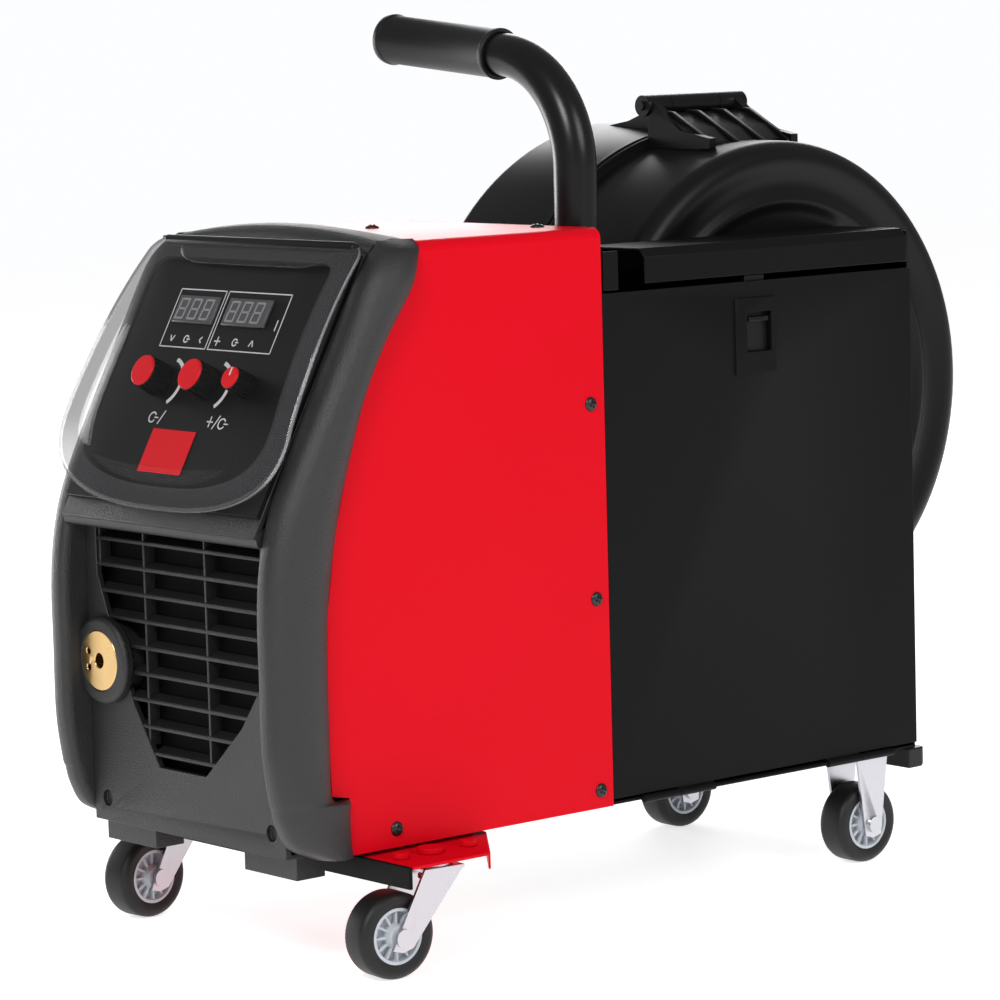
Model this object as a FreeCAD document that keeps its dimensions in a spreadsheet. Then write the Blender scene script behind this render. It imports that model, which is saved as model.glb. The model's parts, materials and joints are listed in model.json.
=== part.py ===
import FreeCAD, Part
import math
import os
import re
import Sketcher
from FreeCAD import Placement, Rotation, Vector

# Wire feeder of a welding set, in millimetres: +Z up, the control panel faces -Y, the Euro
# torch socket is on the -X half and the service door on the +X side. The origin is on the
# floor, under the middle of the overall box.

doc = FreeCAD.newDocument("WireFeeder")

# ---------------------------------------------------------------- driving dimensions

SIZES = [
    # housing
    ("half_width", 110, "half the width of the sheet-metal housing"),
    ("sheet", 1.5, "sheet thickness of covers and doors"),
    ("gap", 0.5, "clearance round doors and covers"),
    ("floor_z", 73, "underside of the housing"),
    ("pan_t", 2, "thickness of the base pan"),
    ("cover_top_z", 430, "top of the red cover"),
    ("box_top_z", 415, "top of the side box"),
    ("door_top_z", 389.5, "top edge of the box door"),
    ("lid_skirt", 21.5, "height of the lid's skirt"),
    ("partition_y", -64, "front face of the partition"),
    ("rear_y", 204, "rear face of the housing"),
    ("cover_front_y", -270, "front lower edge of the red cover"),
    ("box_wall_x", 49, "inner wall of the side box, on the drum's face"),
    ("deck_z", 128, "top of the deck under the drum"),
    # bezel
    ("nose_y", -326, "foremost point of the bezel's side cheeks"),
    ("bezel_half", 121.5, "half the width of the bezel"),
    ("cheek_in", 97, "inner face of a cheek beside the grille"),
    ("window_half", 104, "half the width of the flip window"),
    ("face_y", -308, "front face of the lower bezel panel"),
    ("wall", 4, "wall thickness of the bezel"),
    ("ledge_z", 258, "underside of the ledge below the window"),
    ("lean", 29, "lean of the control panel from the vertical, degrees"),
    ("panel_y", -279.6, "control panel reference point"),
    ("panel_z", 352, "control panel reference point"),
    ("knob_rad", 11, "radius of a large knob"),
    ("small_knob_rad", 8, "radius of the small knob"),
    ("knob_len", 15, "length of a knob"),
    ("knob_row", -7, "knob row, along the panel from the reference point"),
    # torch socket and wire line
    ("wire_x", -77, "plane of the wire"),
    ("wire_z", 175, "height of the wire"),
    ("socket_rad", 18.5, "radius of the brass torch socket"),
    ("collar_rad", 27, "radius of the socket's collar"),
    # drum
    ("drum_y", 152, "drum axis"),
    ("drum_z", 310.5, "drum axis"),
    ("drum_rad", 162.5, "radius of the fixed half"),
    ("flange_rad", 170, "radius of the flanges at the joint of the halves"),
    ("cover_rad", 174, "largest radius of the hinged half"),
    ("drum_wall", 2.5, "wall thickness of the drum"),
    ("shoulder", 13, "rounded shoulder of the fixed half"),
    ("split_x", -41, "joint of the two halves"),
    ("drum_far_x", -126.7, "outer face of the hinged half"),
    ("hinge_z", 497, "axis of the drum hinge"),
    ("knuckle_rad", 7, "radius of the drum hinge knuckles"),
    # spool
    ("spool_rad", 150, "radius of a 300 mm spool"),
    ("spool_left_x", -108, "outer flange of the spool"),
    ("spool_width", 98, "width of the spool"),
    ("spool_bore", 26, "radius of the spool's bore"),
    ("spindle_rad", 8, "radius of the spindle"),
    ("running", 0.05, "radial clearance of a running fit"),
    # handle
    ("post_x", 70, "axis of the handle post"),
    ("post_y", -48, "axis of the handle post"),
    ("tube_rad", 13.5, "radius of the handle tube"),
    ("bend_z", 465, "height where the bend starts"),
    ("bend_rad", 70, "radius of the bend"),
    ("rise", 5.5, "rise of the hand grip above the horizontal, degrees"),
    ("grip_rad", 15.5, "radius of the hand grip"),
    ("grip_len", 111, "length of the hand grip"),
    # wheels
    ("wheel_rad", 26, "radius of a wheel"),
    ("wheel_width", 22, "width of a tyre"),
    ("rim_rad", 17, "radius of a rim"),
    ("axle_rad", 3, "radius of a wheel axle"),
    ("swivel_x", 126.7, "swivel axis of a front caster"),
    ("swivel_y", -224, "swivel axis of a front caster"),
    ("trail", 30.8, "trail of a front caster"),
    ("toe", 5.5, "angle at which the front casters stand, degrees"),
    ("rear_wheel_x", 88, "middle of a rear wheel"),
    ("rear_wheel_y", 169, "middle of a rear wheel"),
    ("bracket_half", 152, "half the width of the front caster bracket"),
    ("bracket_y", -258, "front edge of the caster bracket"),
    # wire drive
    ("module_mm", 1, "gear module"),
    ("roll_teeth", 34, "teeth of a feed-roll gear"),
    ("pinion_teeth", 26, "teeth of the motor pinion"),
    ("drive_y", -175, "middle of the wire drive"),
    ("plate_x", -62, "face of the drive plate"),
]

sheet = doc.addObject("Spreadsheet::Sheet", "Sizes")
for row, (alias, number, note) in enumerate(SIZES, start=1):
    sheet.set(f"A{row}", alias)
    sheet.set(f"B{row}", str(number))
    sheet.set(f"C{row}", note)
    sheet.setAlias(f"B{row}", alias)
doc.recompute()
ALIASES = {alias for alias, number, note in SIZES}


def size(alias):
    """A driving dimension as a plain number, for shapes built in code."""
    return float(sheet.get(alias))


def bound(expression):
    """The same expression with every alias pointed at the sheet."""
    return re.sub(r"[a-z_]+", lambda m: "Sizes." + m.group() if m.group() in ALIASES else m.group(),
                  str(expression))


# ---------------------------------------------------------------- building blocks

ALONG = {"X": Rotation(), "Y": Rotation(Vector(0, 0, 1), 90), "Z": Rotation(Vector(0, 1, 0), -90)}
TURN = {"X": Rotation(Vector(0, 1, 0), 90), "Y": Rotation(Vector(1, 0, 0), -90), "Z": Rotation()}
nodes = []
counter = [0]


def piece(kind):
    counter[0] += 1
    return doc.addObject(kind, f"Form{counter[0]:03d}")


def bind(thing, **expressions):
    for prop, expression in expressions.items():
        thing.setExpression(prop.replace("_", "."), bound(expression))
    return thing


def box(xs, ys, zs):
    """A box between two limits along each axis; the limits are sheet expressions."""
    thing = piece("Part::Box")
    for prop, (low, high) in (("Length", xs), ("Width", ys), ("Height", zs)):
        thing.setExpression(prop, bound(f"({high}) - ({low})"))
    for letter, (low, high) in zip("xyz", (xs, ys, zs)):
        thing.setExpression(f"Placement.Base.{letter}", bound(low))
    return thing


def rod(axis, place, rad, span):
    """A cylinder along X, Y or Z; place is its axis in the other two directions."""
    low, high = span
    thing = bind(piece("Part::Cylinder"), Radius=rad)
    thing.setExpression("Height", bound(f"({high}) - ({low})"))
    thing.Placement = Placement(Vector(), TURN[axis])
    others = [letter for letter in "XYZ" if letter != axis]
    for letter, value in zip(others, place):
        thing.setExpression(f"Placement.Base.{letter.lower()}", bound(value))
    thing.setExpression(f"Placement.Base.{axis.lower()}", bound(low))
    return thing


def drawn(body, plane, outline):
    """A closed sketch of straight lines, each corner bound to the sheet."""
    sketch = body.newObject("Sketcher::SketchObject", body.Name + "Sketch")
    support = [f for f in body.Origin.OriginFeatures if f.Role == plane + "_Plane"][0]
    sketch.AttachmentSupport = (support, [""])
    sketch.MapMode = "FlatFace"
    count = len(outline)
    for i in range(count):
        start = Vector(10 * i, 10 * (i % 2), 0)
        end = Vector(10 * ((i + 1) % count), 10 * ((i + 1) % count % 2), 0)
        sketch.addGeometry(Part.LineSegment(start, end), False)
    for i in range(count):
        sketch.addConstraint(Sketcher.Constraint("Coincident", i, 2, (i + 1) % count, 1))
    for i, corner in enumerate(outline):
        for kind, expression in zip(("DistanceX", "DistanceY"), corner):
            index = sketch.addConstraint(Sketcher.Constraint(kind, -1, 1, i, 1, 1.0))
            sketch.setExpression(f"Constraints[{index}]", bound(expression))
    return sketch


def prism(plane, outline, span):
    """A PartDesign pad of a straight-sided outline, between two limits along the third axis."""
    low, high = span
    body = piece("PartDesign::Body")
    sketch = drawn(body, plane, outline)
    # the XZ plane looks along -Y, so its pad starts at the far limit
    sketch.setExpression("AttachmentOffset.Base.z", bound(f"-({high})" if plane == "XZ" else low))
    pad = body.newObject("PartDesign::Pad", body.Name + "Pad")
    pad.Profile = sketch
    pad.setExpression("Length", bound(f"({high}) - ({low})"))
    body.Tip = pad
    return body


def fuse(*parts):
    if len(parts) == 1:
        return parts[0]
    thing = piece("Part::MultiFuse")
    thing.Shapes = list(parts)
    return thing


def cut(base, *tools):
    thing = piece("Part::Cut")
    thing.Base = base
    thing.Tool = fuse(*tools)
    return thing


def turned(axis, place, outline):
    """A PartDesign revolution; the outline is (along the axis, radius) pairs of expressions."""
    body = piece("PartDesign::Body")
    sketch = drawn(body, "XY", outline)
    turn = body.newObject("PartDesign::Revolution", body.Name + "Turn")
    turn.Profile = sketch
    turn.ReferenceAxis = (sketch, ["H_Axis"])
    turn.Angle = 360
    body.Tip = turn
    body.Placement = Placement(Vector(), ALONG[axis])
    for letter, value in zip([letter for letter in "XYZ" if letter != axis], place):
        body.setExpression(f"Placement.Base.{letter.lower()}", bound(value))
    return body


def rounded(base, radius, wanted):
    """Part::Fillet on the edges that wanted() picks."""
    doc.recompute()
    thing = piece("Part::Fillet")
    thing.Base = base
    edges = [(i, radius, radius) for i, e in enumerate(base.Shape.Edges, start=1) if wanted(e)]
    thing.Edges = edges
    return thing


def shaped(shape, placement=None):
    """A Part::Feature, for the shapes that primitives and pads don't give."""
    thing = piece("Part::Feature")
    thing.Shape = shape
    if placement is not None:
        thing.Placement = placement
    return thing


def put(thing, placement):
    """Gives a piece its place, free of the expressions it was drawn with."""
    for letter in "xyz":
        thing.setExpression(f"Placement.Base.{letter}", None)
    thing.Placement = placement


def node(label, thing, placement=None):
    thing.Label = label
    if placement is not None:
        put(thing, placement)
    nodes.append(thing)
    return thing


def group(*parts):
    """Separate solids that share one node."""
    thing = piece("Part::Compound")
    thing.Links = list(parts)
    return thing


def mirrored_x(thing):
    """The same shape on the other side of the middle plane."""
    copy = piece("Part::Mirroring")
    copy.Source = thing
    copy.Normal = Vector(1, 0, 0)
    return copy


# ---------------------------------------------------------------- housing

RED_EDGE = [(-204, "cover_top_z"), (-212, 403), (-233, 374), (-252, 338), (-266, 294), (-275, 262),
            (-282, 217), (-283.6, 182), (-283.5, 132), (-283, 110), (-270, 107.4)]


def side_outline(inset):
    """The red cover seen from the side: straight behind, curved along the bezel in front."""
    top = f"cover_top_z - {inset}"
    curve = [(across, top if up == "cover_top_z" else up) for across, up in RED_EDGE]
    back = "partition_y"
    return [(back, f"floor_z - {inset}"), (back, top), *curve, ("cover_front_y", f"floor_z - {inset}")]


def make_housing():
    floor = box(("-half_width + 2", "half_width - 2"), ("cover_front_y", "rear_y - sheet - 0.2"),
                ("floor_z", "floor_z + pan_t"))
    knuckles = [rod("Y", ("half_width + 1", "floor_z + 1"), 2.5, span) for span in ((-40, -10), (150, 180))]
    tabs = [box(("half_width - 3", "half_width - 0.5"), span, ("floor_z", "floor_z + 2"))
            for span in ((-40, -10), (150, 180))]
    pin = rod("Y", ("half_width + 1", "floor_z + 1"), 1.2, (-40, 180))
    node("base_pan", fuse(floor, pin, *knuckles, *tabs))

    outer = prism("YZ", side_outline(0), ("-half_width", "half_width"))
    soft = rounded(outer, 7, lambda e: e.BoundBox.YLength > 100 and e.BoundBox.ZMin > size("cover_top_z") - 1)
    inner = prism("YZ", side_outline("sheet"), ("-half_width + sheet", "half_width - sheet"))
    room = rounded(inner, 5.5, lambda e: e.BoundBox.YLength > 100 and e.BoundBox.ZMin > size("cover_top_z") - 2)
    hatch = box(("-half_width - 1", "-half_width + 5"), (-217, -82), (111, 291))
    hinge = ("-half_width - 1", -82)
    knuckles = [rod("Z", hinge, 2.5, span) for span in ((140, 170), (230, 260))]
    pin = rod("Z", hinge, 1.2, (140, 260))
    knuckle_room = box(("-half_width - 1", "-half_width + 5"), (-83, -79.2), (169.7, 230.3))
    node("red_cover", fuse(cut(soft, room, hatch, knuckle_room), pin, *knuckles))

    plate = box(("-half_width + 2", "half_width - 2"), ("partition_y + 0.2", "partition_y + 0.2 + sheet"),
                ("floor_z + pan_t", "cover_top_z - 8"))
    pass_through = rod("Y", ("wire_x", "wire_z"), 6, ("partition_y - 2", "partition_y + 4"))
    node("partition", cut(plate, pass_through))

    front = "partition_y + 0.2 + sheet"
    left_wall = box(("-half_width", "-half_width + sheet"), (front, "rear_y"), ("floor_z", "deck_z"))
    deck = box(("-half_width", "box_wall_x"), (front, "rear_y"), ("deck_z - sheet", "deck_z"))
    rear = box(("-half_width", "half_width - 2"), ("rear_y - sheet", "rear_y"), ("floor_z", "deck_z"))
    rear_high = box(("box_wall_x", "half_width - 2"), ("rear_y - sheet", "rear_y"), ("floor_z", "box_top_z - sheet"))
    inner_wall = box(("box_wall_x", "box_wall_x + sheet"), (front, "rear_y"), ("deck_z - sheet", "box_top_z - sheet"))
    corner = box(("half_width - sheet", "half_width"), (front, "partition_y + 14"), ("door_top_z + 1.5", "box_top_z"))
    brace = box(("box_wall_x", "half_width"), (front, f"{front} + 0.7"), ("door_top_z + 1.5", "box_top_z - sheet"))
    shell = fuse(left_wall, deck, rear, rear_high, inner_wall, corner, brace)
    power_hole = rod("Y", (80, 110), 15, ("rear_y - 5", "rear_y + 5"))
    control_hole = rod("Y", (80, 160), 11, ("rear_y - 5", "rear_y + 5"))
    gas_hole = rod("Y", (80, 200), 6, ("rear_y - 5", "rear_y + 5"))
    node("rear_box", cut(shell, power_hole, control_hole, gas_hole))

    profile = [("box_wall_x + sheet + 0.3", "box_top_z - sheet"), ("box_wall_x + sheet + 0.3", "box_top_z"),
               ("half_width - 5", "box_top_z"), ("half_width", "box_top_z - 5"),
               ("half_width", "box_top_z - lid_skirt"), ("half_width - sheet", "box_top_z - lid_skirt"),
               ("half_width - sheet", "box_top_z - 5.6"), ("half_width - 5.6", "box_top_z - sheet")]
    node("box_lid", prism("XZ", profile, (-28, 201)))

    skin = box(("half_width - sheet", "half_width"), ("partition_y + gap", "rear_y - gap"),
               ("floor_z + 4", "door_top_z"))
    strips = [box(("half_width - sheet", "half_width"), span, ("floor_z + 1", "floor_z + 4.5"))
              for span in ((-9.7, 20), (120, 149.7))]
    barrels = [rod("Y", ("half_width + 1", "floor_z + 1"), 2.5, span) for span in ((-9.7, 20), (120, 149.7))]
    bore = rod("Y", ("half_width + 1", "floor_z + 1"), 1.25, (-20, 160))
    latch_slot = box(("half_width - 5", "half_width + 5"), (56, 77), (345, 370))
    escutcheon = box(("half_width - 0.5", "half_width + 1.5"), (46, 81), (331, 379))
    node("side_door", cut(fuse(skin, escutcheon, *strips, *barrels), latch_slot, bore))

    slider = box(("half_width - 5", "half_width - 2.5"), (54, 79), (338, 376))
    tongue = box(("half_width - 5", "half_width - 2.5"), (58, 75), (376, "box_top_z - lid_skirt - 0.3"))
    grab = box(("half_width - 3", "half_width + 1"), (58, 75), (364, 367))
    node("door_latch", fuse(slider, tongue, grab))

    skin = box(("-half_width", "-half_width + sheet"), (-216.5, -84.8), (111.5, 290.5))
    strip = box(("-half_width - 1", "-half_width + sheet"), (-86, -82), (170.3, 229.7))
    barrel = rod("Z", hinge, 2.5, (170.3, 229.7))
    latch_hole = rod("X", (-205, 200), 4.05, ("-half_width - 2", "-half_width + 4"))
    shaft_room = rod("Z", hinge, 1.25, (160, 240))
    node("access_door", cut(fuse(skin, strip, barrel), latch_hole, shaft_room))
    head = rod("X", (-205, 200), 8, ("-half_width - 4", "-half_width - 0.3"))
    stem = rod("X", (-205, 200), 4, ("-half_width - 0.3", "-half_width + 5"))
    cam = box(("-half_width + 2.5", "-half_width + 5"), (-215, -201), (196, 204))
    node("access_latch", fuse(head, stem, cam))


# ---------------------------------------------------------------- bezel, panel and window

NOSE = [(-294, 74), (-314, 87), (-321, 109), ("nose_y", 135), ("nose_y", 226), (-323, 250),
        (-316, 272), (-294, 312), (-272, 352), (-250, 392), (-231, 427), (-222, 431)]
SLAT_SPANS = [(-27, 29), (-41, 40), (-51, 56), (-58, 70), (-65, 80), (-74, 85), (-79, 85), (-84, 85), (-84, 85)]
PANEL = Placement(Vector(0, size("panel_y"), size("panel_z")),
                  Rotation(Vector(1, 0, 0), 90 - size("lean")))


def on_panel(thing, across, up, turn):
    """Puts a piece on the leaning panel's face, at a place across it and up it."""
    put(thing, PANEL.multiply(Placement(Vector(across, up, 0), turn)))


def make_bezel():
    back = [(across, 431 if up == "cover_top_z" else up) for across, up in RED_EDGE]
    outline = [*NOSE, *[(f"{across} - gap", up) for across, up in back], ("cover_front_y - gap", 74)]
    cheek = prism("YZ", outline, ("cheek_in", "bezel_half"))
    nose = rounded(cheek, 8, lambda e: abs(e.BoundBox.XMin - size("bezel_half")) < 0.1
                   and abs(e.BoundBox.XMax - size("bezel_half")) < 0.1
                   and e.BoundBox.YMax < -290 and 100 < e.BoundBox.ZMin < 240)
    hollow = prism("YZ", [(-300, 84), (-317, 115), (-321, 226), (-311, 268), (-240, 400), (-200, 400),
                          (-262, 294), (-278, 217), (-279, 112), (-266, 100), (-266, 84)],
                   ("cheek_in + wall", "bezel_half - wall"))
    right = cut(nose, hollow)
    left = mirrored_x(right)

    face = box(("-cheek_in + 0.2", "cheek_in - 0.2"), ("face_y", "face_y + wall"), (74, "ledge_z - 0.2"))
    grille_room = prism("XZ", [(-86, 256), (-86, 228), (-76, 203), (-52, 150), (-27, 114), (20, 114), (57, 147),
                               (86, 185), (86, 256)], ("face_y - 1", "face_y + wall + 1"))
    collar_room = rod("Y", ("wire_x", "wire_z"), "collar_rad - 3", ("face_y - 1", "face_y + wall + 1"))
    ledge = prism("YZ", [("face_y", "ledge_z"), (-322, "ledge_z"), (-323, "ledge_z + 8"), (-316, "ledge_z + 11"),
                         ("face_y + wall", "ledge_z + 11")], ("-cheek_in - 1", "cheek_in + 1"))
    brow = prism("YZ", [(-226, 421), (-229, 429.5), (-206, 430.5), (-207, 421)], ("-cheek_in - 1", "cheek_in + 1"))
    feet = [box((low, high), (-300, -279), (60.4, 75)) for low, high in ((45, 96), (-96, -45))]
    sill = box(("-cheek_in + 0.2", "cheek_in - 0.2"), ("face_y + 1", "cover_front_y - gap"), (74, 77))
    screw_holes = [rod("Y", (side * 83.4, 88.4), 5, ("face_y - 1", "face_y + 3")) for side in (1, -1)]
    collar_bay = rod("Y", ("wire_x", "wire_z"), "collar_rad + 0.3", (-330, -290))
    node("bezel", cut(fuse(right, left, ledge, brow), collar_bay))
    node("front_panel", cut(fuse(face, sill, *feet), grille_room, collar_room, *screw_holes))

    slats = [prism("YZ", [(-318, low), (-314, low), (-302, low + 8), (-306, low + 8)], span)
             for low, span in zip(range(119, 256, 16), SLAT_SPANS)]
    ribs = [box((low, low + 3), (-306, -302), span) for low, span in ((-37, (127, 256)), (26, (119, 256)),
                                                                     (82, (190, 256)), (-84, (232, 256)))]
    socket_room = rod("Y", ("wire_x", "wire_z"), "collar_rad + 0.5", (-330, -290))
    node("louvre_grille", cut(fuse(*slats, *ribs), socket_room))

    plate = box(("-cheek_in + 0.5", "cheek_in - 0.5"), (-86, 82), (-3, 0))
    holes = [rod("Z", (across, "knob_row"), 3.3, (-4, 1)) for across, rad in KNOBS.values()]
    lid = cut(plate, *holes)
    node("control_panel", lid, PANEL)

    node("displays", group(*[box(span, (31, 49), (0, 2)) for span in ((-57, -17), (-7, 35))]), PANEL)


KNOBS = {"voltage": (-46, "knob_rad"), "wire_speed": (2, "knob_rad"), "trim": (42, "small_knob_rad")}


def make_knobs():
    for name, (across, rad) in KNOBS.items():
        grip = turned("Z", (0, 0), [(-8, 0), (-8, 3), (0.5, 3), (0.5, f"{rad} + 1"), (3, f"{rad} + 1"),
                                    (4, rad), ("knob_len", f"{rad} - 1"), ("knob_len + 1", f"{rad} - 2"),
                                    ("knob_len + 1", 0)])
        node(f"{name}_knob", grip)
        on_panel(grip, across, size("knob_row"), ALONG["Z"])


def make_window():
    """A clear blister over the panel: an arched strip cut to a U-shaped outline."""
    half = size("window_half")
    top, low, rise, thick = 86, -90, 20, 3

    def arch(out):
        return Part.Arc(Vector(0, top, 2 + out), Vector(0, -5, rise + out), Vector(0, low, 0.5 + out)).toShape()

    inner, outer = arch(0), arch(thick)
    ends = [Part.makeLine(Vector(0, place, start), Vector(0, place, start + thick))
            for place, start in ((top, 2), (low, 0.5))]
    strip = Part.Face(Part.Wire(Part.__sortEdges__([inner, outer, *ends])))
    strip.translate(Vector(-140, 0, 0))
    strip = strip.extrude(Vector(280, 0, 0))
    waist = Vector(half + 9, -45, 0)
    left = Part.makeLine(Vector(-half, top, 0), Vector(-waist.x, waist.y, 0))
    bottom = Part.Arc(Vector(-waist.x, waist.y, 0), Vector(0, low + 1, 0), waist).toShape()
    right = Part.makeLine(waist, Vector(half, top, 0))
    lid = Part.makeLine(Vector(half, top, 0), Vector(-half, top, 0))
    outline = Part.Face(Part.Wire([left, bottom, right, lid])).extrude(Vector(0, 0, 60))
    blister = strip.common(outline)
    barrel = Part.makeCylinder(4, 190, Vector(-95, top, 4), Vector(1, 0, 0))
    bore = Part.makeCylinder(2.05, 200, Vector(-100, top, 4), Vector(1, 0, 0))
    corners = [Part.makeBox(20, 17.5, 14, Vector(start, top - 15, -1)) for start in (-116.5, 96.5)]
    node("panel_window", shaped(blister.cut(corners).fuse(barrel).cut(bore), PANEL))
    pin = Part.makeCylinder(2, 202, Vector(-101, top, 4), Vector(1, 0, 0))
    ears = [Part.makeBox(3, 9, 17, Vector(start, top - 4.5, -9)) for start in (-101, 98)]
    node("window_pin", shaped(pin.fuse(ears), PANEL))


def make_torch_socket():
    centre = ("wire_x", "wire_z")
    collar = turned("Y", centre, [("face_y - 7", "socket_rad"), ("face_y - 7", "collar_rad - 2"),
                                  ("face_y - 5", "collar_rad"), ("face_y", "collar_rad"),
                                  ("face_y", "collar_rad - 3"), ("face_y + 14", "collar_rad - 3"),
                                  ("face_y + 14", "socket_rad")])
    node("socket_collar", collar)
    block = turned("Y", centre, [("face_y - 7", 4.5), ("face_y - 7", "socket_rad"), ("face_y + 60", "socket_rad"),
                                 ("face_y + 60", 4.5)])
    pins = [rod("Y", (f"wire_x + {place[0]}", f"wire_z + {place[1]}"), 2, ("face_y - 8", "face_y + 6"))
            for place in ((-11, 5), (-11, -5))]
    node("torch_socket", cut(block, *pins))


# ---------------------------------------------------------------- drum, spool and handle

def make_drum():
    centre = ("drum_y", "drum_z")
    ring_out, ring_in = "drum_rad * 0.8", "drum_rad * 0.74"
    shell = [("split_x", "drum_rad - drum_wall"), ("split_x", "flange_rad"), ("split_x + 3", "flange_rad"),
             ("split_x + 3", "drum_rad + 1"), ("box_wall_x - shoulder", "drum_rad"),
             ("box_wall_x - shoulder * 0.35", "drum_rad - shoulder * 0.35"),
             ("box_wall_x - 0.5", "drum_rad - shoulder"), ("box_wall_x - 0.5", ring_out),
             ("box_wall_x", ring_out), ("box_wall_x", ring_in), ("box_wall_x - 0.5", ring_in),
             ("box_wall_x - 0.5", "spindle_rad"), ("box_wall_x - 3", "spindle_rad"),
             ("box_wall_x - 3", "drum_rad - shoulder - 1"), ("box_wall_x - shoulder - 1", "drum_rad - drum_wall")]
    node("drum_shell", turned("X", centre, shell))

    far = "drum_far_x"
    cover = [("split_x - gap", "flange_rad - drum_wall"), ("split_x - gap", "flange_rad + 1"),
             ("split_x - 4", "flange_rad + 1"), ("split_x - 4", "flange_rad"),
             (f"{far} + 8", "cover_rad"), (f"{far} + 2", "cover_rad - 2"), (far, "cover_rad - 8"), (far, 0),
             (f"{far} + drum_wall", 0), (f"{far} + drum_wall", "cover_rad - 9"),
             (f"{far} + 9", "cover_rad - drum_wall")]
    half = turned("X", centre, cover)
    knuckle = rod("Y", ("split_x", "hinge_z"), "knuckle_rad", (130.5, 173.5))
    arms = [prism("XZ", [("split_x - 3", "hinge_z - 6"), ("split_x - 6", "hinge_z + 2"), (-85, 486), (-110, 482),
                         ("split_x - 3", 478)], span) for span in ((136, 142), (162, 168))]
    bore = rod("Y", ("split_x", "hinge_z"), "3 + running", (120, 184))
    node("drum_cover", cut(fuse(half, knuckle, *arms), bore))

    ears = [rod("Y", ("split_x", "hinge_z"), "knuckle_rad", span) for span in ((109, 130), (174, 198))]
    legs = [prism("XZ", [("split_x + 2", "hinge_z - 6"), ("split_x + 5", "hinge_z + 4"), (-8, 481), (20, 476),
                         (20, 468), ("split_x + 2", 468)], span) for span in ((112, 118), (186, 192))]
    hollow = rod("X", centre, "drum_rad + 1.1", ("split_x", "box_wall_x"))
    pin = rod("Y", ("split_x", "hinge_z"), 3, (107, 200))
    rim = rod("X", centre, "flange_rad + 0.1", ("split_x", "split_x + 3"))
    node("drum_hinge", fuse(cut(fuse(*ears, *legs), hollow, rim), pin))

    left, right = "spool_left_x", "spool_left_x + spool_width"
    spool = [(left, "spool_bore"), (left, "spool_rad"), (f"{left} + 4", "spool_rad"), (f"{left} + 4", 55),
             (f"{right} - 4", 55), (f"{right} - 4", "spool_rad"), (right, "spool_rad"), (right, "spool_bore")]
    node("spool", turned("X", centre, spool))
    node("wire_coil", turned("X", centre, [(f"{left} + 4", 55), (f"{left} + 4", 104), (f"{right} - 4", 104),
                                           (f"{right} - 4", 55)]))
    node("spool_hub", turned("X", centre, [(left, "spindle_rad + running"), (left, "spool_bore"),
                                           (right, "spool_bore"), (right, 38), (f"{right} + 5", 38),
                                           (f"{right} + 5", "spindle_rad + running")]))
    node("spindle", turned("X", centre, [(-120, 0), (-120, 20), (-109, 20), (-109, "spindle_rad"),
                                         ("box_wall_x - 0.5", "spindle_rad"), ("box_wall_x - 0.5", 0)]))


def make_handle():
    bend = 90 - size("rise")
    turn_x = size("post_x") - size("bend_rad")
    end = Vector(turn_x + size("bend_rad") * math.cos(math.radians(bend)), size("post_y"),
                 size("bend_z") + size("bend_rad") * math.sin(math.radians(bend)))
    tilt = Rotation(Vector(0, 1, 0), -bend)

    def route(rad):
        post = rod("Z", ("post_x", "post_y"), rad, (285, "bend_z"))
        elbow = bind(piece("Part::Torus"), Radius1="bend_rad", Radius2=rad)
        elbow.Angle3 = bend
        elbow.Placement = Placement(Vector(turn_x, size("post_y"), size("bend_z")), Rotation(Vector(1, 0, 0), 90))
        arm = bind(piece("Part::Cylinder"), Radius=rad)
        arm.Height = 112
        arm.Placement = Placement(end, tilt)
        return fuse(post, elbow, arm)

    node("handle_tube", cut(route("tube_rad"), route("tube_rad - 2")))
    grip = turned("Z", (0, 0), [(0, "tube_rad"), (0, "grip_rad + 0.8"), (3, "grip_rad + 0.8"), (4, "grip_rad"),
                                ("grip_len - 8", "grip_rad"), ("grip_len - 6", "grip_rad + 1"),
                                ("grip_len - 2", "grip_rad + 0.5"), ("grip_len + 3", "grip_rad - 6"),
                                ("grip_len + 3", 0), ("grip_len - 2", 0), ("grip_len - 2", "tube_rad")])
    node("hand_grip", grip)
    along = tilt.multVec(Vector(0, 0, 1))
    put(grip, Placement(end + along * 5, tilt.multiply(ALONG["Z"])))


# ---------------------------------------------------------------- undercarriage

def wheel_parts(name, centre, toe=0):
    """Rim and tyre of one wheel about its own centre, then set in place."""
    place = Placement(Vector(*centre), Rotation(Vector(0, 0, 1), toe))
    tyre = turned("X", (0, 0), [("-wheel_width / 2", "rim_rad"), ("-wheel_width / 2", "wheel_rad - 4"),
                                ("-wheel_width / 2 + 4", "wheel_rad"), ("wheel_width / 2 - 4", "wheel_rad"),
                                ("wheel_width / 2", "wheel_rad - 4"), ("wheel_width / 2", "rim_rad")])
    rim = turned("X", (0, 0), [(-12, "axle_rad + running"), (-12, 7), (-8, 8), (-3, 14), (-10, "rim_rad"),
                               (10, "rim_rad"), (3, 14), (8, 8), (12, 7), (12, "axle_rad + running")])
    for kind, thing in (("tyre", tyre), ("rim", rim)):
        node(f"{name}_{kind}", thing, place)


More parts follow.
